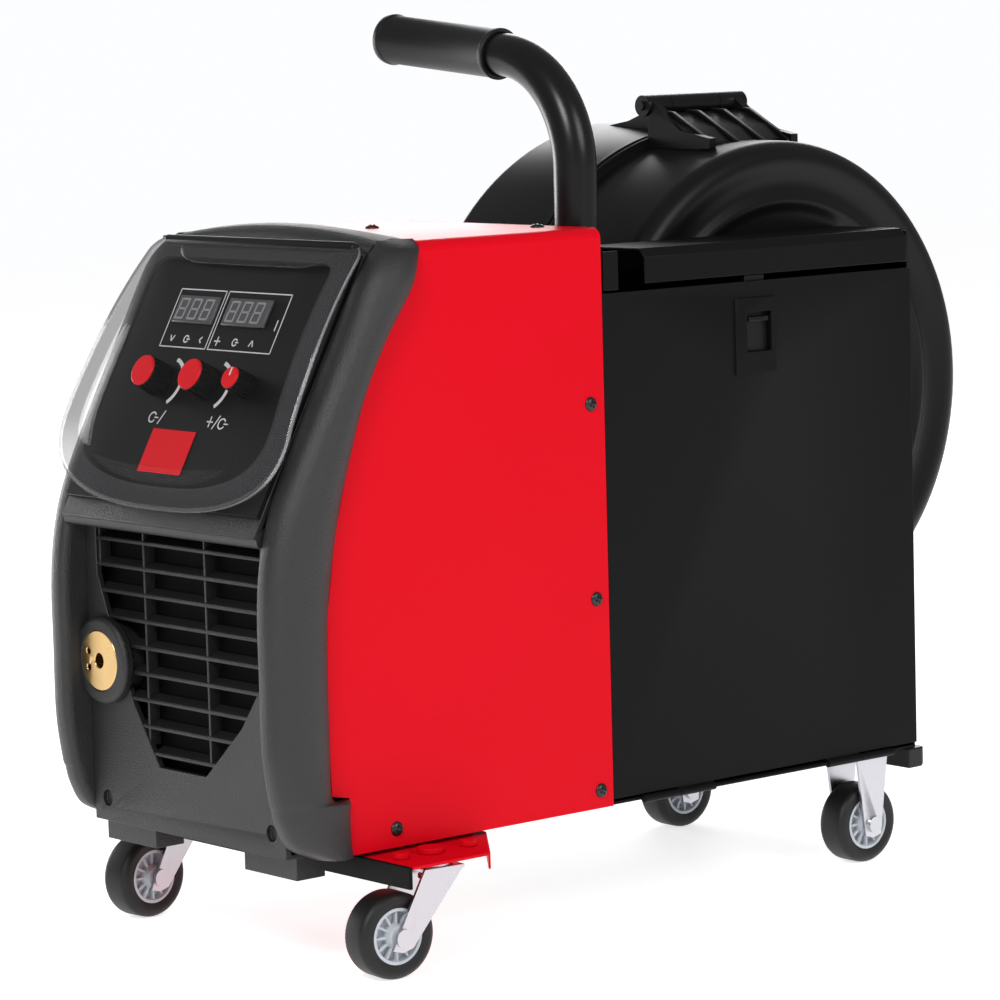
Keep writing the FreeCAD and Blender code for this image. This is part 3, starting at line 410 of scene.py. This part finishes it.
# %% [markdown]
# ## The moulded bezel
# The bezel is one thick moulding: two cheeks that hold the panel and the grille between them, a brow
# over the window and a ledge under it. The cheeks are lofted. One smooth line runs up the nose, one
# up the edge of the red cover, and the same rounded section is stretched between them all the way.
# %% Two lines and a section
def smooth_line(points, steps=5):
    """A smooth run through every given point (Catmull-Rom)."""
    spots = [Vector(point) for point in points]
    spots = [2 * spots[0] - spots[1], *spots, 2 * spots[-1] - spots[-2]]
    run = []
    for a, b, c, d in zip(spots, spots[1:], spots[2:], spots[3:]):
        for i in range(steps):
            t = i / steps
            run.append((2 * b + (c - a) * t + (2 * a - 5 * b + 4 * c - d) * t ** 2
                        + (3 * b - a - 3 * c + d) * t ** 3) / 2)
    return [*run, spots[-2]]


NOSE_LINE = smooth_line([(-294, 74), (-310, 82), (-318, 96), (-321, 107), (-322, 111), (-326, 140),
                         (-326, 182), (-326, 218), (-323.5, 247), (-317, 274), (-305, 301), (-284, 341),
                         (-262, 381), (-245, 412), (-228, 431)])
RED_LINE = smooth_line([(-270.5, 74), (-270.5, 86), (-270.5, 98), (-270.5, 106.5), (-283.6, 109.5),
                        (-284, 140), (-284, 182), (-282.6, 217), (-278, 248), (-272, 276), (-264, 303),
                        (-251, 341), (-233.5, 374), (-212.5, 404), (-204.5, 431)])
CHEEK_IN, BEZEL_HALF, TOP = 97, 121.5, 431
# how far out, as a share of the cheek's width, and how far back, as a share of its depth
FRONT_HALF = [(0, 0.95), (0, 0.14), (0.03, 0.06), (0.1, 0.015), (0.2, 0), (0.4, 0), (0.56, 0.02),
              (0.7, 0.07), (0.82, 0.14), (0.91, 0.22), (0.97, 0.31), (1, 0.42)]
REAR_HALF = [(0.98, 0.55), (0.92, 0.66), (0.8, 0.76), (0.62, 0.85), (0.4, 0.92), (0.18, 0.97), (0, 0.985),
             (0, 1), (-0.25, 1)]


def corner_reach(half, radius, up):
    """Half a width that is drawn in by a quarter circle near the top."""
    over = max(up - (TOP - radius), 0)
    return half - radius + math.sqrt(max(radius ** 2 - over ** 2, 0))


def cheek_section(nose, red):
    outer = corner_reach(BEZEL_HALF, 20, nose.y)
    edge = corner_reach(110.6, 8, red.y)
    depth = red - nose
    spots = [(CHEEK_IN + share * (outer - CHEEK_IN), nose + depth * back) for share, back in FRONT_HALF]
    spots += [(edge + share * (outer - edge), nose + depth * back) for share, back in REAR_HALF]
    return [Vector((across, spot.x, spot.y)) * MM for across, spot in spots]


# %% Cheeks, brow and ledge
def make_bezel():
    bm = bmesh.new()
    loft(bm, [cheek_section(nose, red) for nose, red in zip(NOSE_LINE, RED_LINE)])
    right = bm.verts[:] + bm.edges[:] + bm.faces[:]
    copy = bmesh.ops.duplicate(bm, geom=right)["geom"]
    mirrored = [item for item in copy if isinstance(item, bmesh.types.BMVert)]
    bmesh.ops.scale(bm, vec=(-1, 1, 1), verts=mirrored)
    brow = []
    for i in range(29):
        across = -98 + 7 * i
        crown = 7 * (1 - (across / 98) ** 2)
        brow.append([Vector((across, y, z + crown * rise)) * MM for y, z, rise in (
            (-230, 417, 0.2), (-234, 421, 0.4), (-234, 425, 0.6), (-231, 428.5, 0.85), (-226, 430.5, 1),
            (-216, 431.5, 1), (-207, 430.8, 0.8), (-204.5, 429.5, 0.6), (-204.5, 424, 0), (-215, 417, 0))])
    loft(bm, brow)
    loft(bm, [[Vector((across, y, z)) * MM for y, z in ((-306, 258), (-318, 258), (-322, 260), (-323, 264),
                                                        (-321, 268), (-316, 270), (-306, 270))]
              for across in (-98, 98)])
    bmesh.ops.recalc_face_normals(bm, faces=bm.faces)
    bezel = into_object(bm, "bezel_piece", "textured_plastic", "chassis", smooth=50)
    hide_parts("bezel")


make_bezel()
print("bezel lofted through", len(NOSE_LINE), "sections")

# %% Painted shade behind the grille: a near-black sheet
def plain_block(name, finish_name, low, high, width=0.5):
    """A box between two corners of the frame, with rounded edges."""
    bm = bmesh.new()
    bmesh.ops.create_cube(bm, size=1)
    low, high = Vector(low), Vector(high)
    bmesh.ops.scale(bm, vec=(high - low) * MM, verts=bm.verts)
    bmesh.ops.translate(bm, vec=(low + high) / 2 * MM, verts=bm.verts)
    return add_bevel(into_object(bm, name, finish_name, "chassis"), width)


def make_grille():
    """Nine thin slats, a little longer each one up, and the upright ribs that carry them."""
    bm = bmesh.new()
    slat = [(-307.2, 2.8), (-307.6, 1.4), (-306.8, 0.2), (-299, 3), (-299, 5.6)]
    reaches = [(-34, 34), (-48, 48), (-58, 64), (-66, 76), (-76, 88), (-84, 88), *[(-88, 88)] * 3]
    for number, ends in enumerate(reaches):
        low = 120 + 16 * number
        loft(bm, [[Vector((across, y, low + z)) * MM for y, z in slat] for across in ends])
    for across, low in ((-38, 126), (24, 122), (80, 190), (-84, 232)):
        rib = bmesh.ops.create_cube(bm, size=1)["verts"]
        bmesh.ops.scale(bm, vec=(1.8 * MM, 8 * MM, (257 - low) * MM), verts=rib)
        bmesh.ops.translate(bm, vec=Vector((across, -302.8, (257 + low) / 2)) * MM, verts=rib)
    bmesh.ops.recalc_face_normals(bm, faces=bm.faces)
    grille = into_object(bm, "grille_piece", "textured_plastic", "chassis")
    add_bevel(grille, 0.4)
    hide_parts("louvre_grille")


make_grille()
# painted shade: a near-black sheet behind the slats stands in for the dark inside of the housing
plain_block("grille_shade_screen", "painted_recess_shade", (-95, -298, 78), (95, -296, 268))
print("grille and painted shade screen made")

# %% The block that carries the drum's hinge
def make_hinge_block():
    """A sloping web between four taller ribs."""
    web = [(-32, 462), (-32, 492), (-22, 490), (-2, 482), (12, 473), (12, 458)]
    rib = [(-33, 466), (-33, 494), (-20, 493), (18, 473), (18, 452)]
    spans = [(web, 113, 191), *[(rib, middle - 2, middle + 2) for middle in (118, 141, 164, 187)]]
    bm = bmesh.new()
    for outline, near, far in spans:
        loft(bm, [[Vector((x, y, z)) * MM for x, z in outline] for y in (near, far)])
    bmesh.ops.recalc_face_normals(bm, faces=bm.faces)
    add_bevel(into_object(bm, "hinge_block", "black_plastic", "chassis"), 0.8)


make_hinge_block()
print("hinge block with its four ribs")

# %% [markdown]
# ## The flip window
# The window is one clear moulding: a flat flange round a raised dome, both bowed from hinge to lower
# lip. It is built as rings inside its outline, from the middle outwards. The ring where the dome
# meets the flange makes the crease, and the flange takes the smokier of the two finishes.
# %% The window's outline and bow
PANEL_LEAN = math.radians(61)
PANEL = Matrix.Translation((0, -0.2796, 0.352)) @ Matrix.Rotation(PANEL_LEAN, 4, "X")
WINDOW_TOP, WINDOW_LOW, WINDOW_HALF, WINDOW_WAIST, WAIST_UP = 86, -90, 104, 113, -40
CREASE = 0.84


def right_outline():
    """The right half of the outline, from the middle of the top to the middle of the lower lip."""
    top = [(9.2 * i, WINDOW_TOP) for i in range(10)]
    corner = [(WINDOW_HALF - 12 + 12 * math.sin(a), WINDOW_TOP - 12 + 12 * math.cos(a))
              for a in [math.radians(15 * i) for i in range(7)]]
    side = [(WINDOW_HALF + (WINDOW_WAIST - WINDOW_HALF) * i / 12, 74 + (WAIST_UP - 74) * i / 12)
            for i in range(1, 12)]
    arc = [(WINDOW_WAIST * math.cos(a) ** 0.77, WAIST_UP + (WINDOW_LOW - WAIST_UP) * math.sin(a) ** 0.77)
           for a in [math.radians(4.5 * i) for i in range(20)]]
    return top + corner + side + arc + [(0, WINDOW_LOW)]


def window_height(up, ring):
    """Height over the panel: the bow of the whole sheet, and the dome inside the crease."""
    along = (up - WINDOW_LOW) / (WINDOW_TOP - WINDOW_LOW)
    bow = 2.5 + 10 * max(1 - abs(2 * along - 1) ** 2.2, 0)
    dome = 8 * (1 - (min(ring, CREASE) / CREASE) ** 5)
    return bow + dome


def make_window():
    half = right_outline()
    outline = [Vector(p) for p in half] + [Vector((-x, y)) for x, y in reversed(half[1:-1])]
    middle = Vector((0, -4))
    shares = [i / 14 * CREASE for i in range(15)] + [CREASE + (1 - CREASE) * i / 4 for i in range(1, 5)]
    bm = bmesh.new()
    rings = []
    for share in shares[1:]:
        spots = [middle + (spot - middle) * share for spot in outline]
        spots = [Vector((x, up, window_height(up, share))) * MM for x, up in spots]
        rings.append([bm.verts.new(PANEL @ spot) for spot in spots])
    hub = bm.verts.new(PANEL @ (Vector((0, middle.y, window_height(middle.y, 0))) * MM))
    for a, b in zip(rings[0], rings[0][1:] + rings[0][:1]):
        bm.faces.new((hub, a, b))
    for number, (inner, outer) in enumerate(zip(rings, rings[1:])):
        for a, b, c, d in zip(inner, inner[1:] + inner[:1], outer[1:] + outer[:1], outer):
            face = bm.faces.new((a, d, c, b))
            face.material_index = 1 if shares[number + 2] > CREASE + 0.001 else 0
    bmesh.ops.recalc_face_normals(bm, faces=bm.faces)
    window = into_object(bm, "clear_window", "clear_window", "panel_window", smooth=60)
    for name in ("window_flange", "window_edge"):
        window.data.materials.append(FINISH[name])
    thick = window.modifiers.new("thickness", "SOLIDIFY")
    thick.thickness = 2.2 * MM
    thick.offset = 0
    thick.material_offset_rim = 2
    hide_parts("panel_window")
    return window


window = make_window()
print("window built from", len(window.data.vertices), "points")

# %% Bars and rounds on the panel
def panel_bar(name, finish_name, body, low, high, width=0.5, segments=2):
    """A box between two corners in the panel's own directions: across, up, out."""
    bm = bmesh.new()
    bmesh.ops.create_cube(bm, size=1)
    low, high = Vector(low), Vector(high)
    for vert in bm.verts:
        share = vert.co + Vector((0.5, 0.5, 0.5))
        vert.co = PANEL @ (Vector([a + (b - a) * s for a, b, s in zip(low, high, share)]) * MM)
    bmesh.ops.recalc_face_normals(bm, faces=bm.faces)
    piece = into_object(bm, name, finish_name, body)
    if width:
        add_bevel(piece, width, segments)
    return piece


def panel_round(name, finish_name, body, across, up, start, end, radius, far_radius):
    """A round, slightly tapered boss standing on the panel."""
    bm = bmesh.new()
    bmesh.ops.create_cone(bm, cap_ends=True, segments=48, radius1=radius * MM, radius2=far_radius * MM,
                          depth=(end - start) * MM)
    place = PANEL @ Matrix.Translation(Vector((across, up, (start + end) / 2)) * MM)
    bmesh.ops.transform(bm, matrix=place, verts=bm.verts)
    return into_object(bm, name, finish_name, body)


panel_bar("panel_surround", "textured_plastic", "chassis", (-97, -98, -7), (97, 84, -3.1), 0.5)
panel_bar("window_barrel", "black_plastic", "panel_window", (-94, 82, 1), (94, 88, 5), 1.8, 3)
pin = panel_bar("hinge_pin", "black_plastic", "chassis", (-97, 84.8, 2.2), (97, 87.2, 4.6), 0.9)
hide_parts("window_pin")


def make_window_band():
    """A smoky strip moulded under the top of the window, narrower below, with round lower corners."""
    bm = bmesh.new()
    bmesh.ops.create_grid(bm, x_segments=30, y_segments=6, size=1)
    for vert in bm.verts:
        drop = (1 - vert.co.y) / 2
        half = 80 - 10 * drop - 9 * drop ** 6
        up = 84.5 - 15 * drop * (1 - 0.12 * abs(vert.co.x) ** 12)
        vert.co = PANEL @ (Vector((half * vert.co.x, up, window_height(up, 1) - 1.6)) * MM)
    band = into_object(bm, "window_band", "window_band", "panel_window", smooth=60)
    thick = band.modifiers.new("thickness", "SOLIDIFY")
    thick.thickness = 0.8 * MM


make_window_band()
print("hinge barrel, pin and smoky band laid along the top of the window")

# %% [markdown]
# ## The control panel
# The panel is a dark sheet with two framed displays, three knobs on printed dials, and a red square.
# Everything printed is a thin raised piece, a fraction of a millimetre high, so that it stays crisp
# from every side.
# %% Display frames and digits
INK = (0.0, 0.15)
DIGIT_WIDE, DIGIT_HIGH, DIGIT_PITCH, STROKE = 8.6, 14, 12.4, 1.3


def outline_frame(name, low, high, line=0.7):
    """A printed rectangle: four thin bars."""
    (left, bottom), (right, top) = low, high
    bars = [((left, bottom), (right, bottom + line)), ((left, top - line), (right, top)),
            ((left, bottom), (left + line, top)), ((right - line, bottom), (right, top))]
    for i, (start, end) in enumerate(bars):
        panel_bar(f"{name}_{i}", "print_white", "chassis", (*start, INK[0]), (*end, INK[1]), 0)


def digit_bars():
    """The seven bars of a figure, unlit, as corners from its lower left."""
    w, h, s = DIGIT_WIDE, DIGIT_HIGH, STROKE
    half = h / 2
    gap = 0.25
    return [(s, h - s, w - s, h), (s, half - s / 2, w - s, half + s / 2), (s, 0, w - s, s),
            (0, half + gap, s, h - gap), (w - s, half + gap, w, h - gap), (0, gap, s, half - gap),
            (w - s, gap, w, half - gap)]


def make_digits(name, left, bottom):
    bm = bmesh.new()
    for place in range(3):
        for x0, y0, x1, y1 in digit_bars():
            made = bmesh.ops.create_cube(bm, size=1)["verts"]
            for vert in made:
                share = vert.co + Vector((0.5, 0.5, 0.5))
                up = bottom + y0 + (y1 - y0) * share.y
                across = left + place * DIGIT_PITCH + x0 + (x1 - x0) * share.x + (up - bottom) * 0.1
                vert.co = PANEL @ (Vector((across, up, 2.0 + 0.15 * share.z)) * MM)
    return into_object(bm, name, "digit_grey", "chassis")


outline_frame("left_frame", (-62, 15), (-15, 54))
outline_frame("right_frame", (-13, 15), (49.5, 54))
make_digits("left_digits", -55.5, 33)
make_digits("right_digits", -4.5, 33)
print("two frames and six digits")

# %% Symbols under the displays
def printed_strokes(name, strokes, line=0.9):
    """Straight printed strokes, each from one point to another on the panel."""
    bm = bmesh.new()
    for start, end in strokes:
        start, end = Vector(start), Vector(end)
        run = end - start
        made = bmesh.ops.create_cube(bm, size=1)["verts"]
        side = Vector((-run.y, run.x)).normalized() * line / 2
        for vert in made:
            flat = start + run * (vert.co.x + 0.5) + side * (2 * vert.co.y)
            vert.co = PANEL @ (Vector((flat.x, flat.y, INK[1] * (vert.co.z + 0.5))) * MM)
    bmesh.ops.recalc_face_normals(bm, faces=bm.faces)
    return into_object(bm, name, "print_white", "chassis")


def ring_strokes(centre, radius, start, end, count):
    """A circle or arc as short strokes; angles in degrees, from the right, turning left."""
    turn = [math.radians(start + (end - start) * i / count) for i in range(count + 1)]
    spots = [(centre[0] + radius * math.cos(a), centre[1] + radius * math.sin(a)) for a in turn]
    return list(zip(spots, spots[1:]))


LEFT_SYMBOLS = [((-54, 23), (-52, 19)), ((-52, 19), (-50, 23)), ((-37, 21), (-34, 21)),
                ((-22, 23), (-24, 21)), ((-24, 21), (-22, 19))]
RIGHT_SYMBOLS = [((-9, 21), (-3, 21)), ((-6, 18), (-6, 24)), ((12, 21), (15, 21)), ((26, 19), (28, 23)),
                 ((28, 23), (30, 19)), ((45, 30), (45, 37))]
LOW_SYMBOLS = [((-33, -35), (-29, -26)), ((-38, -31), (-34, -31)), ((18, -34), (18, -27)),
               ((15, -30.5), (21, -30.5)), ((22, -35), (26, -26)), ((32, -31), (36, -31))]
ROUND_SYMBOLS = [((-37.5, 21), 2.2), ((11.5, 21), 2.2), ((-40, -31), 3.2), ((30, -31), 3.2)]
printed_strokes("left_symbols", LEFT_SYMBOLS)
printed_strokes("right_symbols", RIGHT_SYMBOLS)
printed_strokes("low_symbols", LOW_SYMBOLS, line=0.8)
for number, (spot, size) in enumerate(ROUND_SYMBOLS):
    printed_strokes(f"round_symbol_{number}", ring_strokes(spot, size, 30, 330, 20))
panel_bar("red_square", "red_print", "chassis", (-34, -66, INK[0]), (9, -38, INK[1] + 0.2), 0)
print("symbols and the plain red square")

# %% [markdown]
# ## The knobs
# A knob is a fluted grip with a red cap. The grip starts as a circle of many points, every other pair
# drawn in to make the flutes, then it is extruded up in steps and scaled to taper. The dial behind a
# large knob is one thick printed crescent, and only the small knob has a pointer on its cap.
# %% Fluted knobs and dials
KNOBS = {"voltage_knob": (-46, 11), "wire_speed_knob": (2, 11), "trim_knob": (42, 8)}
KNOB_UP, KNOB_LONG, FLUTES = -7, 15, 18


def fluted_grip(name, radius):
    """A ring of flutes raised in three steps: skirt, grip and rounded shoulder."""
    bm = bmesh.new()
    ring = bmesh.ops.create_circle(bm, segments=FLUTES * 4, radius=radius * MM, cap_ends=True)["verts"]
    for i, vert in enumerate(ring):
        if i % 4 in (0, 1):
            vert.co *= 0.93
    face = bm.faces[:][0]
    for rise, scale in ((0.8, 1.0), (KNOB_LONG - 2.5, 0.94), (0.9, 0.93)):
        raised = bmesh.ops.extrude_face_region(bm, geom=[face])["geom"]
        moved = [item for item in raised if isinstance(item, bmesh.types.BMVert)]
        bmesh.ops.translate(bm, vec=(0, 0, rise * MM), verts=moved)
        bmesh.ops.scale(bm, vec=(scale, scale, 1), verts=moved)
        face = next(item for item in raised if isinstance(item, bmesh.types.BMFace))
    bmesh.ops.recalc_face_normals(bm, faces=bm.faces)
    place = PANEL @ Matrix.Translation(Vector((KNOBS[name][0], KNOB_UP, 0.6)) * MM)
    bmesh.ops.transform(bm, matrix=place, verts=bm.verts)
    piece = into_object(bm, name + "_grip", "black_plastic", name, smooth=40)
    add_bevel(piece, 0.25, 2)
    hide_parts(name)


def dial(name, across, radius):
    """A thick printed crescent on the right of the knob."""
    strokes = ring_strokes((across + 5, KNOB_UP - 1), radius, -55, 78, 24)
    printed_strokes(name, strokes, line=2.5)


for name, (across, radius) in KNOBS.items():
    fluted_grip(name, radius)
    cap = panel_round(name + "_cap", "red_print", name, across, KNOB_UP, 14.6, 16.2, radius - 1, radius - 1.5)
    add_bevel(cap, 0.4, 2)
pointer = panel_bar("trim_pointer", "print_white", "trim_knob", (41.4, KNOB_UP + 1, 16.1),
                    (42.6, KNOB_UP + 6, 16.35), 0)
dial("voltage_dial", -46, 15.5)
dial("wire_speed_dial", 2, 15.5)
print(len(KNOBS), "knobs with caps, one pointer and two dials")

# %% [markdown]
# ## Wheels
# A small caster wheel is a grey moulded rim with ribs between hub and ring, and a solid black tyre
# with a rounded tread. Both are spun from a half section round the axle. Each wheel is made about its
# own centre, then set on the axle that the frame gives.
# %% Tyre and ribbed rim
WHEELS = ("right_front", "left_front", "right_rear", "left_rear")
RIBS = 12


def wheel_place(wheel):
    """Where the wheel stands and how its axle lies, read from its joint."""
    joint = next(j for j in frame["joints"] if j["name"] == wheel + "_wheel_spin")
    toe = math.atan2(joint["axis"][1], joint["axis"][0])
    return Matrix.Translation(joint["pos_m"]) @ Matrix.Rotation(toe, 4, "Z")


def rounded_tread():
    """The tyre's section: flat side walls, a shoulder of quarter circles and a gently crowned tread."""
    half, top, shoulder = 11, 26, 5
    right = [(half - shoulder + shoulder * math.sin(a), top - shoulder + shoulder * math.cos(a))
             for a in [math.radians(15 * i) for i in range(7)]]
    left = [(-x, r) for x, r in reversed(right)]
    return [(-half + 1.2, 17.1), *left, *right, (half - 1.2, 17.1)]


def make_wheel(wheel):
    place = wheel_place(wheel)
    body = wheel + "_wheel"
    tyre = spun(rounded_tread())
    bmesh.ops.transform(tyre, matrix=place, verts=tyre.verts)
    tyre_piece = into_object(tyre, wheel + "_tyre_piece", "tyre", body, smooth=50)
    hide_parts(wheel + "_tyre")
    rim = spun([(-12, 3.05), (-12, 6.5), (-9, 7.5), (-5, 8), (-5, 14), (-9.8, 15), (-9.8, 17), (9.8, 17),
                (9.8, 15), (5, 14), (5, 8), (9, 7.5), (12, 6.5), (12, 3.05)])
    for i in range(RIBS):
        rib = bmesh.ops.create_cube(rim, size=1)["verts"]
        shape = Matrix.Rotation(math.tau * i / RIBS, 4, "X") @ Matrix.Translation((0, 0, 11.2 * MM))
        shape = shape @ Matrix.Diagonal((17 * MM, 1.6 * MM, 8.6 * MM, 1))
        bmesh.ops.transform(rim, matrix=shape, verts=rib)
    bmesh.ops.transform(rim, matrix=place, verts=rim.verts)
    rim_piece = add_bevel(into_object(rim, wheel + "_rim_piece", "grey_rim", body), 0.3, 2)
    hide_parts(wheel + "_rim")


for wheel in WHEELS:
    make_wheel(wheel)
print(len(WHEELS), "wheels")

# %% [markdown]
# ## Wire on the spool, and screws
# The wire winds in even turns, so its outer face is a row of fine ridges. The cover screws have a low
# domed head with a cross recess: the dome is half a sphere flattened, and the recess is not cut but
# painted shade, two near-black bars let into its top.
# %% The wound wire
def make_wire():
    low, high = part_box("wire_coil")
    centre = (Vector(low) + Vector(high)) / 2
    width = (high[0] - low[0]) / MM
    turns = 72
    step = (width - 0.6) / (turns * 2)
    ridge = [(-width / 2 + 0.3 + step * i, 103.2 + (0.6 if i % 2 else 0)) for i in range(turns * 2 + 1)]
    bm = spun([(-width / 2 + 0.3, 55.2), *ridge, (width / 2 - 0.3, 55.2)], steps=96)
    bmesh.ops.transform(bm, matrix=Matrix.Translation(centre), verts=bm.verts)
    wire = into_object(bm, "wound_wire", "bare_steel", "spool", smooth=80)
    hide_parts("wire_coil")


make_wire()
print("wire wound on the spool")

# %% Cross-head screws
def screw_spots():
    """Centres and outward directions of the cover screws, as the frame has them."""
    spots = []
    for up_y, up_z in ((-75, 323), (-74, 203), (-74, 84), (-235.5, 84)):
        spots += [((side * 110, up_y, up_z), (side, 0, 0)) for side in (1, -1)]
    return spots + [((-27, -132, 430), (0, 0, 1)), ((70, -80, 430), (0, 0, 1))]


def make_screws():
    heads, crosses = bmesh.new(), bmesh.new()
    for spot, way in screw_spots():
        turn_out = Vector(way).to_track_quat("Z", "Y").to_matrix().to_4x4()
        stand = Matrix.Translation(Vector(spot) * MM) @ turn_out
        dome = bmesh.ops.create_uvsphere(heads, u_segments=28, v_segments=14, radius=4.5 * MM)["verts"]
        for vert in dome:
            vert.co.z = max(vert.co.z, -0.1 * MM) * 0.5
        bmesh.ops.transform(heads, matrix=stand, verts=dome)
        # painted shade of the cross recess: two near-black bars inside the dome, not a cut
        for turn in (0, 90):
            bar = bmesh.ops.create_cube(crosses, size=1)["verts"]
            shape = stand @ Matrix.Rotation(math.radians(turn + 20), 4, "Z")
            shape = shape @ Matrix.Translation((0, 0, 1.75 * MM))
            shape = shape @ Matrix.Diagonal((4.6 * MM, 1 * MM, 0.9 * MM, 1))
            bmesh.ops.transform(crosses, matrix=shape, verts=bar)
    bmesh.ops.remove_doubles(heads, verts=heads.verts, dist=0.001 * MM)
    bmesh.ops.recalc_face_normals(heads, faces=heads.faces)
    screws = into_object(heads, "screw_heads", "dark_screws", "chassis", smooth=60)
    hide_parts("cover_screws")
    into_object(crosses, "screw_cross_shade", "painted_recess_shade", "chassis")


make_screws()
print(len(screw_spots()), "cover screws")
